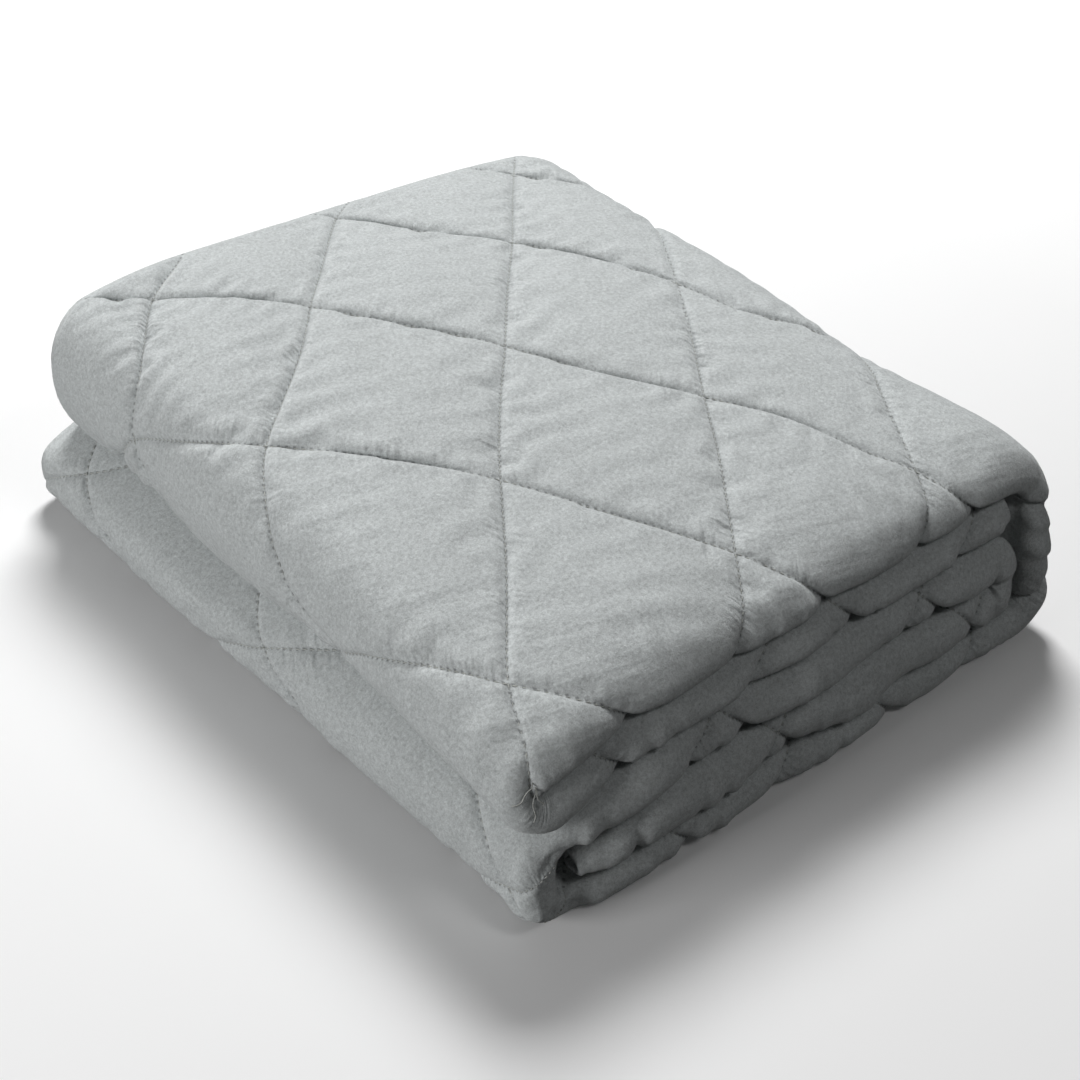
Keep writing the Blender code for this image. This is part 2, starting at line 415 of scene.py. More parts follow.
def place_of_counts(counts):
    """The cloth places that have these seam counts, found step by step."""
    place = rough_place(counts)
    for _ in range(SEARCH_STEPS):
        place = place + (counts - seam_counts(*place.T)) @ (SEARCH_SHARE * STEPS_BACK)
    return place.T


def near_sheet(counts):
    """Which counts may lie on the sheet."""
    u, v = rough_place(counts).T
    on_length = within(u, U_KEYS.min() - SHEET_MARGIN, U_KEYS.max() + SHEET_MARGIN)
    return on_length & within(v, FRONT_V - SHEET_MARGIN, V_KEYS.max() + SHEET_MARGIN)


# ---- The quilted diamonds, puffed up as cloth ------------------------

CELLS = 42  # pieces along each side of a diamond
DIAMONDS = 12  # different ones, laid over the pattern in turn
NEAR_CELLS = (0.40, 0.72)  # sizes of the two cells beside a seam, as shares of a plain one
PUFF = 0.0062
GROOVE_REACH, PUFF_REACH, GROOVE_SHARE = 0.0028, 0.020, 0.36
CALM = 0.45  # how much of the wrinkles is left in the middle of a diamond
CALM_REACH = 0.016
SIDE_ONE = np.array([0.0785, 0.1003])  # along u and v
SIDE_TWO = np.array([-0.0785, 0.1003])
GRAIN = np.array([0.96, -0.28])  # the way that the long wrinkles run

# The cloth is a net of springs between neighbouring points, in units of one piece of a diamond's side. It is
# cut larger than the place that the seams leave it, so it wrinkles over the filling, which pushes back.
CLOTH_SEED = 5
CLOTH_STEPS = 700
CLOTH_STEP = 0.32
SPRING = 1.0
STIFF_FOLD = 0.012
FILLING = 0.011
FILLING_WAYS = np.array([0.15, 0.15, 1.0])  # its share along u, v and outward
DRAG = 0.06
LOOSE_ACROSS, LOOSE_ALONG = 0.015, 0.004  # how much larger the cloth is, across and along the long wrinkles
DRAWN_IN, DRAWN_REACH = 0.075, 0.009  # how much more it is beside a seam, and how far that reaches
LONGEST_MOVE = 0.006
NEIGHBOURS = ((1, 0), (0, 1), (1, 1), (1, -1))


def puff_at(to_first, to_second):
    """Height of the cloth over a diamond at these distances from its seams, before it wrinkles."""
    rise = 1.0
    for distance in (to_first, to_second):
        steep = 1 - np.exp(-distance / GROOVE_REACH)
        gentle = 1 - np.exp(-distance / PUFF_REACH)
        rise = rise * mix(gentle, steep, GROOVE_SHARE)
    return PUFF * rise


def plain_puff():
    part = np.arange(CELLS + 1) / CELLS
    distance = np.minimum(part, 1 - part) * SEAM_SPACING
    return puff_at(distance[:, None], distance[None])


def blurred(values, times):
    for _ in range(times):
        for axis in (1, 2):
            values = (np.roll(values, 1, axis) + 2 * values + np.roll(values, -1, axis)) / 4
    return values


def neighbours(values, step):
    """Two matching views: each point, and its neighbour at this step."""
    first = (slice(0, -1) if step[0] else slice(None))
    first_after = (slice(1, None) if step[0] else slice(None))
    second = {0: slice(None), 1: slice(0, -1), -1: slice(1, None)}[step[1]]
    second_after = {0: slice(None), 1: slice(1, None), -1: slice(0, -1)}[step[1]]
    return values[:, first, second], values[:, first_after, second_after]


def uneven_patches(dice, spread_out, times):
    """Soft random patches, one layer for each diamond."""
    return blurred(dice.normal(0, spread_out, (DIAMONDS, CELLS + 1, CELLS + 1)), times)


def cut_springs(rest, patches, beside):
    """For each way to a neighbour, how long the cloth between them is cut."""
    across_grain = np.array([-GRAIN[1], GRAIN[0]])
    springs = []
    for step in NEIGHBOURS:
        way = (step[0] * SIDE_ONE + step[1] * SIDE_TWO) / SEAM_SIDE
        way = way / np.linalg.norm(way)
        loose = LOOSE_ACROSS * (way @ across_grain) ** 2 + LOOSE_ALONG * (way @ GRAIN) ** 2
        here, there = neighbours(patches, step)
        near_here, near_there = neighbours(beside, step)
        start, end = neighbours(rest, step)
        length = np.linalg.norm(end - start, axis=-1)
        more = loose * (here + there) / 2 + DRAWN_IN * (near_here + near_there) / 2
        springs.append((step, length * (1 + more)))
    return springs


def bending(values):
    """How far each point is from midway between its neighbours."""
    bow = np.zeros_like(values)
    bow[:, 1:-1] += values[:, 2:] + values[:, :-2] - 2 * values[:, 1:-1]
    bow[:, :, 1:-1] += values[:, :, 2:] + values[:, :, :-2] - 2 * values[:, :, 1:-1]
    return bow


def settled_cloth(cloth, rest, springs):
    """Steps the net until it lies still, with its outline held."""
    speed = np.zeros_like(cloth)
    for _ in range(CLOTH_STEPS):
        force = np.zeros_like(cloth)
        for step, length in springs:
            start, end = neighbours(cloth, step)
            way = end - start
            now = np.linalg.norm(way, axis=-1)
            pull = (SPRING * (now - length) / now)[..., None] * way
            force_start, force_end = neighbours(force, step)
            force_start += pull
            force_end -= pull
        force -= STIFF_FOLD * bending(bending(cloth))
        force -= FILLING * (cloth - rest) * FILLING_WAYS
        speed = (speed + CLOTH_STEP * force) * (1 - DRAG)
        speed[:, [0, -1]] = 0.0
        speed[:, :, [0, -1]] = 0.0
        cloth = cloth + CLOTH_STEP * speed
    return cloth


def wrinkled_diamonds():
    """Moves of the cloth along u, v and outward from its plain puff, for each point of each diamond."""
    dice = np.random.default_rng(CLOTH_SEED)
    piece = SEAM_SIDE / CELLS
    first, second = np.meshgrid(np.arange(CELLS + 1), np.arange(CELLS + 1), indexing="ij")
    flat = (first[..., None] * SIDE_ONE + second[..., None] * SIDE_TWO) / SEAM_SIDE
    rest = np.concatenate([flat, plain_puff()[..., None] / piece], -1)
    rest = np.repeat(rest[None], DIAMONDS, 0)
    patches = uneven_patches(dice, 1, 30)
    patches = np.clip(1 + 0.8 * patches / patches.std(), 0.0, 2.6)
    to_seam = np.minimum(np.minimum(first, CELLS - first), np.minimum(second, CELLS - second)) * piece
    drawn = np.clip(1 + 0.6 * uneven_patches(dice, 4, 8), 0.2, 2.2)
    springs = cut_springs(rest, patches, np.exp(-to_seam / DRAWN_REACH)[None] * drawn)
    cloth = rest.copy()
    cloth[:, 1:-1, 1:-1, 2] += uneven_patches(dice, 0.5, 1)[:, 1:-1, 1:-1]
    moves = (settled_cloth(cloth, rest, springs) - rest) * piece
    moves = np.clip(moves, -LONGEST_MOVE, LONGEST_MOVE)
    busy = np.exp(-to_seam / CALM_REACH)
    patchy = ease(0.5 + 0.7 * uneven_patches(dice, 9, 40))
    return moves * (busy + (1 - busy) * CALM * patchy)[..., None]


def on_the_quilting(counts, diamonds):
    """Moves of the cloth at these seam counts."""
    whole = np.floor(counts + 1e-9).astype(int)
    part = np.clip(counts - whole, 0, 1) * CELLS
    corner = np.minimum(part.astype(int), CELLS - 1)
    part = part - corner
    number = (5 * whole[..., 0] + 3 * whole[..., 1]) % DIAMONDS
    i, j = corner[..., 0], corner[..., 1]
    s, t = part[..., :1], part[..., 1:]
    low = mix(diamonds[number, i, j], diamonds[number, i + 1, j], s)
    high = mix(diamonds[number, i, j + 1], diamonds[number, i + 1, j + 1], s)
    moves = mix(low, high, t)
    to_seams = np.abs(counts - np.round(counts)) * SEAM_SPACING
    moves[..., 2] += puff_at(to_seams[..., 0], to_seams[..., 1])
    return moves


# ---- The sheet's two faces -------------------------------------------

LONGEST_TURN = 0.09
ROUGH_STEPS, HEM_STEPS, EDGE_STEPS = (0.022, 0.004), (0.007, 0.004), (0.006, 0.003)  # on runs, and in turns
PLY_STEP = 0.028  # across a ply that doesn't show
CLEAR_FINE, CLEAR_ROUGH = 0.0012, 0.0025  # from the edge to the first points inside it
SEAM_DEPTH = 0.0008  # how far the outer face stands off the sheet's middle in a seam
HIDDEN_HALF = 0.0036  # half the thickness where plies lie on each other
HIDDEN_PINCH = 0.0012
HEM_HALF = 0.0020
HEM_REACH, HEM_PUFF_REACH = 0.010, 0.012  # over which the sheet grows to its thickness and its puff
NOSE_CREASE, CREASE_FADE = 0.0055, 0.02  # how much sharper the lower roll's front fold is
PINCH_REACH = 0.005
SLIT, SLIT_REACH = 0.0030, 0.025  # how far the plies gape beside the front folds
HEM_ROUND = 0.0012  # how far the hem's middle stands out past its two faces
NOSE_CALM = 0.65  # how much flatter the puffs are on the front folds
NOSE_BULGE, NOSE_PINCH = 0.0042, 0.0020  # fuller between the seams on the front folds, and drawn in at them
GATHERS, GATHER_REACH, GATHER_RISE, GATHER_LEAN = 0.0010, 0.020, 0.022, 0.25  # wrinkles into the front folds
SPINE_SWELL, SWELL_PLACE, SWELL_REACH = 0.0095, 0.025, 0.014  # fuller inside the spine's front fold
SWELL_ZONE = 0.04
OPEN_REACH = 0.012
NOSE_MIDDLE, NOSE_HALF = (FRONT_FOLD + OUTER) / 2, (OUTER - FRONT_FOLD) / 2
NOSE_BEFORE, NOSE_AFTER = 0.004, 0.022  # how far the finely made part goes on past the front fold


def nose_share(across):
    """1 at the very front of a band's fold, falling to 0 on its flat sides."""
    heading = ACROSS.at(across)[2]
    return np.clip(np.sin(-heading - np.pi), 0, 1) * (across > FRONT_FOLD) * (across < OUTER)


def openness(along, across):
    """1 where the outer face is free to puff up, and 0 where another ply lies on it."""
    outer = ease((across - FRONT_FOLD) / (OUTER - FRONT_FOLD))
    band = ease((along - SPINE) / 0.01) * (1 - ease((along - mix(UPPER_ROLL, TUCK, 0.7)) / OPEN_REACH))
    roll = ease((along - mix(LOWER_ROLL, BASE, 0.1)) / OPEN_REACH)
    roll = roll * (1 - ease((along - mix(LOWER_ROLL, BASE, 0.8)) / OPEN_REACH))
    return np.clip(np.maximum(outer * np.maximum(band, roll), nose_share(across) ** 0.8), 0, 1)


def seam_distance(counts):
    """How far a place on the sheet is from the nearest seam."""
    return np.abs(counts - np.round(counts)).min(-1) * SEAM_SPACING


def front_gathers(along, ahead):
    """How far the small wrinkles beside the front folds stand out."""
    patches = ease(0.5 + 0.8 * waves(along, GATHER_PATCH_SEED, 0.05, 0.14))
    on_top = ease((along - TOP) / 0.03) * (1 - ease((along - UPPER_ROLL) / 0.03))
    height = GATHERS * (1 + on_top) * np.exp(-((ahead - GATHER_RISE * on_top) / GATHER_REACH) ** 2)
    return height * patches * waves(along + GATHER_LEAN * ahead, GATHER_SEED, 0.009, 0.024)


def spine_swell(along, ahead):
    """How far the spine's inner side stands out behind its front fold, in uneven wrinkles across it."""
    middle = (SPINE + TOP) / 2
    upright = near_edge(np.abs(along - middle), (TOP - SPINE) / 2)
    wrinkles = 1 + 0.28 * waves(along, SWELL_SEED, 0.012, 0.035)
    return SPINE_SWELL * upright * wrinkles * np.exp(-((ahead + SWELL_PLACE) / SWELL_REACH) ** 2)


def outer_offset(along, across, counts, move):
    """How far the outer face stands off the sheet's middle."""
    nose = nose_share(across)
    ahead = across - NOSE_MIDDLE
    pinch = np.exp(-seam_distance(counts) / PINCH_REACH)
    inside = edge_distance(along, across)
    free = openness(along, across) * ease(inside / HEM_PUFF_REACH)
    slit = SLIT * near_edge(np.abs(ahead) - NOSE_HALF, SLIT_REACH) * (1 - nose)
    offset_hidden = HIDDEN_HALF - HIDDEN_PINCH * pinch - slit
    creased = ease((along - LOWER_ROLL) / CREASE_FADE) * (1 - ease((along - BASE) / CREASE_FADE))
    bulge = mix(NOSE_BULGE, -NOSE_CREASE, creased)
    offset_free = SEAM_DEPTH + move * (1 - NOSE_CALM * nose) + nose * mix(bulge, -NOSE_PINCH, pinch)
    offset_free = offset_free + front_gathers(along, ahead) * (1 - pinch)
    offset = mix(offset_hidden, offset_free, free) + spine_swell(along, ahead)
    return mix(HEM_HALF, offset, ease(inside / HEM_REACH))


def outer_face(along, across, diamonds):
    u, v = cloth_place(along, across)
    counts = seam_counts(u, v)
    move = on_the_quilting(counts, diamonds)
    free = openness(along, across)
    offset = outer_offset(along, across, counts, move[..., 2])
    along, across = route_place(u + free * move[..., 0], v + free * move[..., 1])
    return folded(along, across, offset)


def inner_face(along, across):
    inside = edge_distance(along, across)
    return folded(along, across, -mix(HEM_HALF, HIDDEN_HALF, ease(inside / HEM_REACH)))


def edge_distance(along, across):
    lengthwise = np.minimum(along, TUCK_END - along)
    widthwise = np.minimum(across, HEM - across)
    return np.minimum(lengthwise, widthwise)


def stations(marks, run_step, turn_step):
    """Distances along a route, closer together in its turns, which are its short stretches."""
    found = []
    for start, end in zip(marks, marks[1:]):
        step = turn_step if end - start < LONGEST_TURN else run_step
        count = max(1, round((end - start) / step))
        found += [start + (end - start) * k / count for k in range(count)]
    return np.array(found + [marks[-1]])


def fine_zone(along, across, margin=0.0):
    """Where the outer face shows."""
    cover = across >= FRONT_FOLD - NOSE_BEFORE - margin
    band = within(along, SPINE - 0.01 - margin, TUCK + margin)
    roll = within(along, LOWER_ROLL - 0.01 - margin, BASE + 0.01 + margin)
    nose = within(across, FRONT_FOLD - NOSE_BEFORE - margin, OUTER + NOSE_AFTER + margin)
    swell = within(along, SPINE - margin, TOP + margin)
    swell = swell & within(across, FRONT_FOLD - SWELL_ZONE - margin, FRONT_FOLD)
    return (cover & (band | roll)) | nose | swell


def grid_steps():
    """Places of the pattern's own points along one side of a diamond, closer together beside the seams."""
    sizes = np.ones(CELLS)
    sizes[:2] = NEAR_CELLS
    sizes[-2:] = NEAR_CELLS[::-1]
    steps = np.concatenate([[0.0], np.cumsum(sizes)])
    return steps / steps[-1]


def quilting_points():
    """Points of the pattern's own grid, wherever the outer face shows, so that every seam is an edge."""
    steps = (np.arange(-13, 13)[:, None] + grid_steps()[None, :-1]).ravel()
    counts = np.stack(np.meshgrid(steps, steps, indexing="ij"), -1).reshape(-1, 2)
    u, v = place_of_counts(counts[near_sheet(counts)])
    on_sheet = within(u, U_KEYS.min(), U_KEYS.max()) & within(v, V_KEYS.min(), V_KEYS.max())
    along, across = route_place(u[on_sheet], v[on_sheet])
    keep = fine_zone(along, across) & (edge_distance(along, across) > CLEAR_FINE)
    return np.stack([along[keep], across[keep]], -1)


def edge_points():
    """The sheet's four edges, once round."""
    long_steps = stations(ALONG.marks, *EDGE_STEPS)
    nose = np.arange(FRONT_FOLD - NOSE_BEFORE, OUTER + NOSE_AFTER, 0.003)
    short_steps = stations(ACROSS.marks, 0.012, 0.003)
    short_steps = np.sort(np.concatenate([short_steps, nose]))
    keep = np.concatenate([[True], np.diff(short_steps) > 0.001])
    short_steps = short_steps[keep]
    short_steps[-1] = HEM
    sides = [
        np.stack([long_steps[:-1], np.zeros(len(long_steps) - 1)], -1),
        np.stack([np.full(len(short_steps) - 1, TUCK_END), short_steps[:-1]], -1),
        np.stack([long_steps[:0:-1], np.full(len(long_steps) - 1, HEM)], -1),
        np.stack([np.zeros(len(short_steps) - 1), short_steps[:0:-1]], -1),
    ]
    return np.concatenate(sides)


def grid_points(long_steps, wide_steps):
    along, across = np.meshgrid(long_steps, wide_steps, indexing="ij")
    points = np.stack([along.ravel(), across.ravel()], -1)
    return points[edge_distance(*points.T) > CLEAR_ROUGH]


def outer_points():
    hidden = grid_points(stations(ALONG.marks, *ROUGH_STEPS), stations(ACROSS.marks, PLY_STEP, 0.0022))
    hem_steps = stations(ALONG.marks, *HEM_STEPS)
    back = grid_points(hem_steps, np.arange(BACK_FOLD - 0.006, INNER + 0.006, 0.0024))
    hem = grid_points(hem_steps, np.arange(HEM - 0.018, HEM, 0.004))
    hidden = hidden[~within(hidden[:, 1], BACK_FOLD - 0.008, INNER + 0.008) & (hidden[:, 1] < HEM - 0.02)]
    rough = np.concatenate([hidden, back, hem])
    rough = rough[~fine_zone(*rough.T, margin=0.0015)]
    return np.concatenate([quilting_points(), rough])


def inner_points():
    return grid_points(stations(ALONG.marks, *ROUGH_STEPS), stations(ACROSS.marks, PLY_STEP, 0.0016))


def triangulated(points, edge_count):
    """Faces over flat places of the sheet, whose outline is its first points."""
    u, v = cloth_place(*points.T)
    flat = np.stack([-u, v], -1)
    outline = [(k, (k + 1) % edge_count) for k in range(edge_count)]
    result = delaunay_2d_cdt([Vector(p) for p in flat.tolist()], outline, [], 1, 1e-9, True)
    origin = [ids[0] for ids in result[3]]
    return [[origin[corner] for corner in face] for face in result[2]]


def build_quilt(diamonds):
    edge = edge_points()
    count = len(edge)
    outer = np.concatenate([edge, outer_points()])
    inner = np.concatenate([edge, inner_points()])
    outer_faces = triangulated(outer, count)
    inner_faces = triangulated(inner, count)
    shift = len(outer)
    middle_start = shift + len(inner)
    hem_middle = folded(*(edge - HEM_ROUND * inward_step(edge)).T, 0.0)
    places = [outer_face(*outer.T, diamonds), inner_face(*inner.T), hem_middle]
    faces = [tuple(face) for face in outer_faces]
    faces += [tuple(shift + corner for corner in reversed(face)) for face in inner_faces]
    for k in range(count):
        after = (k + 1) % count
        faces.append((after, k, middle_start + k, middle_start + after))
        faces.append((middle_start + after, middle_start + k, shift + k, shift + after))
    points = np.concatenate(places)
    mesh = bpy.data.meshes.new("quilt cloth")
    mesh.from_pydata(points.tolist(), [], faces)
    mesh.validate()
    mesh.shade_smooth()
    flat = np.concatenate([outer, inner, edge])
    counts = seam_counts(*cloth_place(*flat.T))
    seams = mesh.uv_layers.new(name="seams")
    corner_vertex = np.empty(len(mesh.loops), np.int32)
    mesh.loops.foreach_get("vertex_index", corner_vertex)
    seams.data.foreach_set("uv", counts[corner_vertex].astype(np.float32).ravel())
    return put_in_scene("quilt_cloth", mesh)


def inward_step(edge):
    """Which way is in, at each point of the sheet's edge."""
    lengthwise = np.where(edge[:, 0] <= 0, 1.0, np.where(edge[:, 0] >= TUCK_END, -1.0, 0.0))
    widthwise = np.where(edge[:, 1] <= 0, 1.0, np.where(edge[:, 1] >= HEM, -1.0, 0.0))
    return np.stack([lengthwise, widthwise], -1)


# ---- Stitches --------------------------------------------------------

STITCH_PITCH = 0.0045
STITCH_LENGTH = 0.0030
THREAD = 0.00042  # radius
STITCH_RINGS = ((-0.5, 0.15), (-0.32, 0.8), (0.0, 1.0), (0.32, 0.8), (0.5, 0.15))
STITCH_BOW = 0.00025
RING_POINTS = 5
RING_TURNS = np.arange(RING_POINTS) * 2 * np.pi / RING_POINTS
LEAST_OPEN = 0.35  # stitches between plies that lie on each other are left out

# Ends of the quilting thread that hang from the tip of the top. Each lies on the cloth between two places on
# the routes, and curls away from it between them.
LOOSE_THREADS = (
    ((1.6892, 0.9990), (1.7052, 1.0000), 0.0016),
    ((1.6892, 0.9990), (1.6990, 0.9955), 0.0010),
    ((1.6886, 1.0010), (1.6965, 1.0065), 0.0014),
)
LOOSE_RAISED = 0.0064  # how far off the middle of the sheet a thread comes to lie
LOOSE_WAVE = 0.0008
LOOSE_RADIUS = THREAD * 0.8
TUBE_SIDE = (0.3, 0.9, 0.2)  # a way that no loose thread runs


def stitch_places(family):
    """Pairs of points on the sheet that each stitch of one family of seams runs between."""
    step = STITCH_PITCH / SEAM_SIDE
    seam = np.arange(-12, 13)
    run_along = np.arange(-12, 12, step)
    seam, run_along = np.meshgrid(seam, run_along, indexing="ij")
    half = STITCH_LENGTH / SEAM_SIDE / 2
    ends = []
    for shift in (-half, half):
        pair = [seam.ravel().astype(float), run_along.ravel() + shift]
        ends.append(np.stack(pair if family == 0 else pair[::-1], -1))
    return ends


def shown_stitches(family):
    """The two ends of each stitch of one family that shows, as places on the routes."""
    ends = stitch_places(family)
    near = near_sheet(ends[0])
    ends = [np.stack(place_of_counts(counts[near]), -1) for counts in ends]
    on_sheet = within(ends[0][:, 0], U_KEYS.min() + 0.01, U_KEYS.max() - 0.01)
    on_sheet &= within(ends[0][:, 1], FRONT_V - 0.05, V_KEYS.max() - 0.008)
    first, last = [np.stack(route_place(*end[on_sheet].T), -1) for end in ends]
    middle = (first + last) / 2
    shown = (openness(*middle.T) > LEAST_OPEN) & fine_zone(*middle.T)
    return first[shown], last[shown]


def close_tube(first, rings, faces):
    """Adds the faces of a tube whose rings of points start at the first."""
    for ring in range(rings - 1):
        for k in range(RING_POINTS):
            after = (k + 1) % RING_POINTS
            low, high = first + ring * RING_POINTS, first + (ring + 1) * RING_POINTS
            faces.append((low + k, low + after, high + after, high + k))
    faces.append(tuple(first + k for k in reversed(range(RING_POINTS))))
    last = first + (rings - 1) * RING_POINTS
    faces.append(tuple(last + k for k in range(RING_POINTS)))


def sew(family, vertices, faces):
    """Adds the stitches of one family of seams, each a short tube that bows out a little."""
    first, last = shown_stitches(family)
    centre = (first + last) / 2
    counts = seam_counts(*cloth_place(*centre.T))
    seam_offset = outer_offset(*centre.T, counts, 0.0)
    a = folded(*first.T, seam_offset)
    b = folded(*last.T, seam_offset)
    middle = (a + b) / 2
    out = folded(*centre.T, seam_offset + 0.001) - middle
    length = np.linalg.norm(b - a, axis=1, keepdims=True)
    run_way = (b - a) / length
    side = np.cross(run_way, out)
    side = side / np.linalg.norm(side, axis=1, keepdims=True)
    out = np.cross(side, run_way)
    for number in range(len(middle)):
        base = len(vertices)
        for place, size in STITCH_RINGS:
            centre = middle[number] + run_way[number] * place * length[number]
            centre = centre + out[number] * STITCH_BOW * (1 - 4 * place * place)
            for turn in RING_TURNS:
                spoke = math.cos(turn) * side[number] + math.sin(turn) * out[number]
                vertices.append(centre + THREAD * size * spoke)
        close_tube(base, len(STITCH_RINGS), faces)


def loose_thread(start, end, curl):
    """The places along one thread end that hangs from the quilting."""
    part = np.linspace(0, 1, 13)
    along, across = mix(start[0], end[0], part), mix(start[1], end[1], part)
    across = across + LOOSE_WAVE * np.sin(2 * np.pi * part)
    return folded(along, across, mix(SEAM_DEPTH, LOOSE_RAISED, part ** 0.25) + curl * np.sin(np.pi * part))


def tube(places, radius, vertices, faces):
    """Adds a thin tube through these places."""
    first = len(vertices)
    for place, way in zip(places, np.gradient(places, axis=0)):
        side = np.cross(way, TUBE_SIDE)
        side = side / np.linalg.norm(side)
        other = np.cross(way / np.linalg.norm(way), side)
        for turn in RING_TURNS:
            vertices.append(place + radius * (math.cos(turn) * side + math.sin(turn) * other))
    close_tube(first, len(places), faces)


def build_stitches():
    vertices = []
    faces = []
    for family in (0, 1):
        sew(family, vertices, faces)
    for start, end, curl in LOOSE_THREADS:
        tube(loose_thread(start, end, curl), LOOSE_RADIUS, vertices, faces)
    mesh = bpy.data.meshes.new("quilting stitches")
    mesh.from_pydata([tuple(v) for v in vertices], [], faces)
    mesh.shade_smooth()
    return put_in_scene("quilting_stitches", mesh)


# ---- Materials -------------------------------------------------------

CLOTH_COLOUR = (0.505, 0.53, 0.530, 1.0)
CLOTH_FINISH = (("Roughness", 0.92), ("Sheen Weight", 0.25), ("Sheen Roughness", 0.5),
                ("Specular IOR Level", 0.2))
THREAD_COLOUR = (0.40, 0.41, 0.385, 1.0)
PUCKER_PITCH = 0.0050  # from one pucker to the next along a seam
PUCKER_REACH = 0.019
PUCKER_HEIGHT = 0.0034
PUCKER_CHANGE, WRINKLE_CHANGE = 45.0, 4.0  # how fast they change away from the seam, and upwards
# Painted shade: how much the needle holes darken the cloth, and how much colour is left at the bottom of a
# seam's groove.
HOLE_SHADE, VALLEY_SHADE = 0.47, 0.93
WRINKLE_LENGTH, WRINKLE_WIDTH, WRINKLE_LEAN, WRINKLE_HEIGHT = 0.11, 0.016, 0.30, 0.0020
NAP_HEIGHT = 0.00030
NAP_LAYERS = (  # scale, detail, roughness, and share of the colour: the fibres, the grains and the patches
    (1100.0, 4.0, 0.7, 1.0),
    (420.0, 3.0, 0.65, 0.9),
    (30.0, 4.0, 0.65, 0.16),
)


def node(tree, kind, **settings):
    made = tree.nodes.new(kind)
    for name, value in settings.items():
        setattr(made, name, value)
    return made


def set_sockets(shader_node, values):
    for name, value in values:
        shader_node.inputs[name].default_value = value


def linked(tree, source, target):
    tree.links.new(source, target)


def noise(tree, vector, scale, detail, roughness=0.5):
    made = node(tree, "ShaderNodeTexNoise")
    set_sockets(made, (("Scale", scale), ("Detail", detail), ("Roughness", roughness)))
    linked(tree, vector, made.inputs["Vector"])
    return made.outputs["Fac"]


def maths(tree, operation, first, second):
    made = node(tree, "ShaderNodeMath", operation=operation)
    for socket, value in zip(made.inputs, (first, second)):
        if isinstance(value, (int, float)):
            socket.default_value = value
        else:
            linked(tree, value, socket)
    return made.outputs[0]


def times(tree, first, second):
    return maths(tree, "MULTIPLY", first, second)


def plus(tree, first, second):
    return maths(tree, "ADD", first, second)


def scaled(tree, colour, factor):
    made = node(tree, "ShaderNodeVectorMath", operation="SCALE")
    linked(tree, colour, made.inputs[0])
    linked(tree, factor, made.inputs["Scale"])
    return made.outputs[0]


def eased(tree, value, low, high, at_low, at_high):
    made = node(tree, "ShaderNodeMapRange", interpolation_type="SMOOTHSTEP")
    linked(tree, value, made.inputs["Value"])
    set_sockets(made, (("From Min", low), ("From Max", high), ("To Min", at_low), ("To Max", at_high)))
    return made.outputs[0]


def vector_of(tree, first, second, third):
    made = node(tree, "ShaderNodeCombineXYZ")
    for socket, value in zip(made.inputs, (first, second, third)):
        linked(tree, value, socket)
    return made.outputs[0]


def new_material(name, settings):
    """A material, its nodes and its shader, with these values on the shader's own sockets."""
    material = bpy.data.materials.new(name)
    material.use_nodes = True
    shader = material.node_tree.nodes["Principled BSDF"]
    set_sockets(shader, settings)
    return material, material.node_tree, shader


def new_group(name, inputs, outputs):
    group = bpy.data.node_groups.new(name, "ShaderNodeTree")
    for socket, kind in inputs:
        group.interface.new_socket(socket, in_out="INPUT", socket_type=kind)
    for socket, kind in outputs:
        group.interface.new_socket(socket, in_out="OUTPUT", socket_type=kind)
    return group, node(group, "NodeGroupInput"), node(group, "NodeGroupOutput")


VECTOR, COLOUR, NUMBER = "NodeSocketVector", "NodeSocketColor", "NodeSocketFloat"


def brushed_nap_group():
    """Fine brushed fibres with slightly lighter and darker patches. The height is in metres."""
    group, entry, leave = new_group("brushed nap", [("Vector", VECTOR), ("Colour", COLOUR)],
                                    [("Colour", COLOUR), ("Height", NUMBER)])
    layers = [noise(group, entry.outputs["Vector"], *look) for *look, _ in NAP_LAYERS]
    strength = 1.0
    for layer, (*_, share) in zip(layers, NAP_LAYERS):
        part = times(group, maths(group, "SUBTRACT", layer, 0.5), share)
        strength = plus(group, part, strength)
    linked(group, scaled(group, entry.outputs["Colour"], strength), leave.inputs["Colour"])
    fibres, grains, _ = layers
    height = times(group, plus(group, fibres, grains), NAP_HEIGHT)
    linked(group, height, leave.inputs["Height"])
    return group


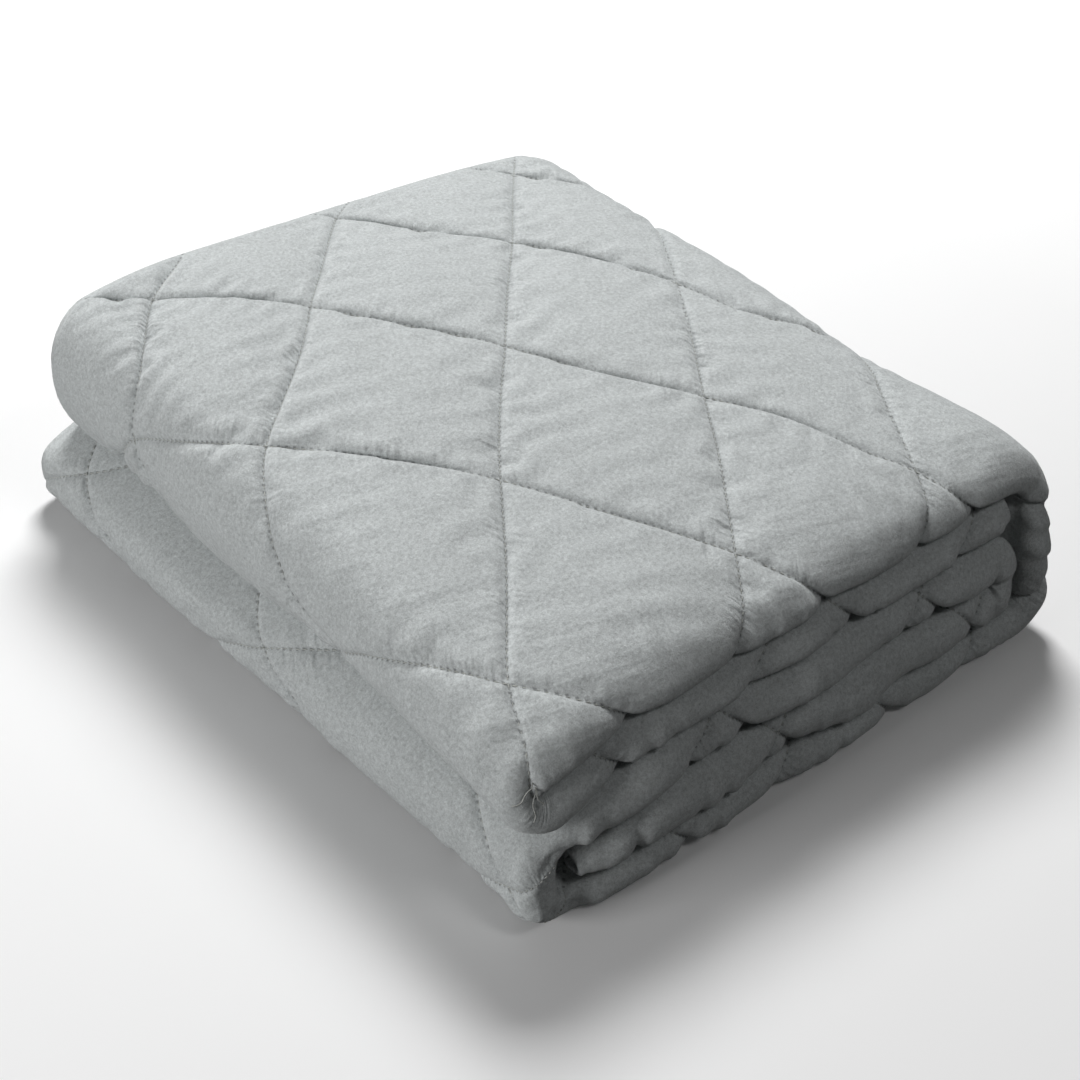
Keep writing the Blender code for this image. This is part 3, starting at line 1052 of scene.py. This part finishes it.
def seam_shade_and_puckers_group():
    """Beside the seams: painted shade in the needle holes and in the drawn-in groove, and short puckers. The
    height is in metres.
    """
    group, entry, leave = new_group("painted seam shade and puckers", [("Seams", VECTOR)],
                                    [("Shade", NUMBER), ("Height", NUMBER)])
    split = node(group, "ShaderNodeSeparateXYZ")
    linked(group, entry.outputs["Seams"], split.inputs[0])
    shade, height = 1.0, 0.0
    for axis, other in ("XY", "YX"):
        across = times(group, maths(group, "PINGPONG", split.outputs[axis], 0.5), SEAM_SPACING)
        stitches_along = times(group, split.outputs[other], SEAM_SIDE / STITCH_PITCH)
        between = maths(group, "PINGPONG", stitches_along, 0.5)
        # Painted shade: the cloth is darkened at the needle holes along the seam.
        hole = times(group, eased(group, between, 0.22, 0.40, 0.0, 1.0),
                     eased(group, across, 0.0005, 0.0013, 1.0, 0.0))
        pale = maths(group, "SUBTRACT", 1.0, times(group, hole, HOLE_SHADE))
        shade = times(group, pale, shade)
        # Painted shade: the cloth is darkened along the drawn-in groove of the seam.
        painted_valley_shade = eased(group, across, 0.0002, 0.0018, VALLEY_SHADE, 1.0)
        shade = times(group, painted_valley_shade, shade)
        place = vector_of(group, times(group, split.outputs[other], SEAM_SIDE / PUCKER_PITCH),
                          maths(group, "ROUND", split.outputs[axis], 0.0),
                          times(group, across, PUCKER_CHANGE))
        pucker = maths(group, "SUBTRACT", noise(group, place, 1.0, 1.5), 0.5)
        reach = times(group, eased(group, across, 0.0, 0.0025, 0.25, 1.0),
                      eased(group, across, 0.002, PUCKER_REACH, 1.0, 0.0))
        strong = eased(group, noise(group, place, 0.11, 1.0), 0.42, 0.66, 0.25, 1.0)
        pucker = times(group, times(group, pucker, reach), strong)
        height = plus(group, times(group, pucker, PUCKER_HEIGHT), height)
    linked(group, shade, leave.inputs["Shade"])
    linked(group, height, leave.inputs["Height"])
    return group


def lying_wrinkles_group():
    """Long soft wrinkles in patches, nearly along the bundle's length. The height is in metres."""
    group, entry, leave = new_group("lying wrinkles", [("Vector", VECTOR)], [("Height", NUMBER)])
    split = node(group, "ShaderNodeSeparateXYZ")
    linked(group, entry.outputs["Vector"], split.inputs[0])
    x, y, z = (split.outputs[axis] for axis in "XYZ")
    lengthwise = maths(group, "SUBTRACT", x, times(group, y, WRINKLE_LEAN))
    widthwise = plus(group, plus(group, y, z), times(group, x, WRINKLE_LEAN))
    place = vector_of(group, maths(group, "DIVIDE", lengthwise, WRINKLE_LENGTH),
                      maths(group, "DIVIDE", widthwise, WRINKLE_WIDTH), times(group, z, WRINKLE_CHANGE))
    patches = eased(group, noise(group, entry.outputs["Vector"], 9.0, 1.0), 0.44, 0.60, 0.15, 1.0)
    ridges = times(group, maths(group, "SUBTRACT", noise(group, place, 1.0, 1.5), 0.5), patches)
    linked(group, times(group, ridges, WRINKLE_HEIGHT), leave.inputs["Height"])
    return group


def microfibre(nap, marks, wrinkles):
    material, tree, shader = new_material("brushed microfibre", CLOTH_FINISH)
    cloth = node(tree, "ShaderNodeGroup", node_tree=nap)
    cloth.inputs["Colour"].default_value = CLOTH_COLOUR
    linked(tree, node(tree, "ShaderNodeTexCoord").outputs["Object"], cloth.inputs["Vector"])
    quilting = node(tree, "ShaderNodeGroup", node_tree=marks)
    linked(tree, node(tree, "ShaderNodeUVMap", uv_map="seams").outputs["UV"], quilting.inputs["Seams"])
    # The cloth's colour carries painted shade in the needle holes and along the seams' grooves.
    colour = scaled(tree, cloth.outputs["Colour"], quilting.outputs["Shade"])
    linked(tree, colour, shader.inputs["Base Color"])
    bump = node(tree, "ShaderNodeBump")
    bump.inputs["Distance"].default_value = 1.0
    lying = node(tree, "ShaderNodeGroup", node_tree=wrinkles)
    linked(tree, node(tree, "ShaderNodeTexCoord").outputs["Object"], lying.inputs["Vector"])
    relief = plus(tree, cloth.outputs["Height"], quilting.outputs["Height"])
    linked(tree, plus(tree, relief, lying.outputs["Height"]), bump.inputs["Height"])
    linked(tree, bump.outputs["Normal"], shader.inputs["Normal"])
    return material


def sewing_thread(nap):
    material, tree, shader = new_material("sewing thread", [("Roughness", 0.75)])
    places = node(tree, "ShaderNodeTexCoord").outputs["Object"]
    fibres = node(tree, "ShaderNodeGroup", node_tree=nap)
    fibres.inputs["Colour"].default_value = THREAD_COLOUR
    linked(tree, places, fibres.inputs["Vector"])
    linked(tree, fibres.outputs["Colour"], shader.inputs["Base Color"])
    return material


# ---- Studio ----------------------------------------------------------

LIGHTS = (  # place, width in metres and power in watts
    ("key", (0.9, 1.25, 1.9), 0.8, 60.0),
    ("left fill", (-2.2, 0.2, 0.6), 0.9, 30.0),
    ("front fill", (0.7, -1.7, 2.5), 0.8, 9.0),
)
LIGHTS_AIM = Vector((0.0, 0.0, 0.07))
SKY_LIGHT, SKY_SEEN = 0.045, 0.85  # what the backdrop lights, and how much brighter it is to look at
FLOOR_SIDE = 8.0
FLOOR_TONES = (0.90, 0.93)
FLOOR_FADE = (0.8, 1.8)  # the distances between which its painted glow rises to white, away from the lights


def pale_floor():
    mesh = bpy.data.meshes.new("floor")
    corners = [(x * FLOOR_SIDE, y * FLOOR_SIDE, 0) for x, y in ((-1, -1), (1, -1), (1, 1), (-1, 1))]
    mesh.from_pydata(corners, [], [(0, 1, 2, 3)])
    floor = put_in_scene("floor", mesh)
    finish = [("Roughness", 0.8), ("Emission Strength", 0.9)]
    material, tree, shader = new_material("pale studio floor", finish)
    places = node(tree, "ShaderNodeTexCoord").outputs["Object"]
    tone = node(tree, "ShaderNodeMapRange")
    linked(tree, noise(tree, places, 3.0, 2.0), tone.inputs["Value"])
    tone.inputs["To Min"].default_value, tone.inputs["To Max"].default_value = FLOOR_TONES
    linked(tree, tone.outputs[0], shader.inputs["Base Color"])
    distance = node(tree, "ShaderNodeVectorMath", operation="LENGTH")
    linked(tree, places, distance.inputs[0])
    # Painted light: the floor glows white far from the middle of the scene, and not at all near it.
    glow = eased(tree, distance.outputs["Value"], *FLOOR_FADE, 0.0, 1.0)
    linked(tree, glow, shader.inputs["Emission Color"])
    mesh.materials.append(material)
    floor.visible_diffuse = False
    return floor


def light_studio():
    world = bpy.data.worlds.new("studio")
    bpy.context.scene.world = world
    world.use_nodes = True
    tree = world.node_tree
    backdrop = tree.nodes["Background"]
    backdrop.inputs["Color"].default_value = (1.0, 1.0, 1.0, 1.0)
    seen = times(tree, node(tree, "ShaderNodeLightPath").outputs["Is Camera Ray"], SKY_SEEN)
    linked(tree, plus(tree, seen, SKY_LIGHT), backdrop.inputs["Strength"])
    for name, place, size, power in LIGHTS:
        data = bpy.data.lights.new(name, "AREA")
        data.size = size
        data.energy = power
        light = put_in_scene(name, data)
        light.location = place
        light.rotation_euler = (LIGHTS_AIM - Vector(place)).to_track_quat("-Z", "Y").to_euler()
    bpy.context.scene.view_settings.view_transform = "Standard"


place_camera()
DIAMOND_MOVES = wrinkled_diamonds()
quilt_cloth = build_quilt(DIAMOND_MOVES)
stitches = build_stitches()
nap_group = brushed_nap_group()
quilt_cloth.data.materials.append(microfibre(nap_group, seam_shade_and_puckers_group(), lying_wrinkles_group()))
stitches.data.materials.append(sewing_thread(nap_group))
floor = pale_floor()
light_studio()
for piece in (quilt_cloth, stitches):
    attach(piece, "root")
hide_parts("quilt")
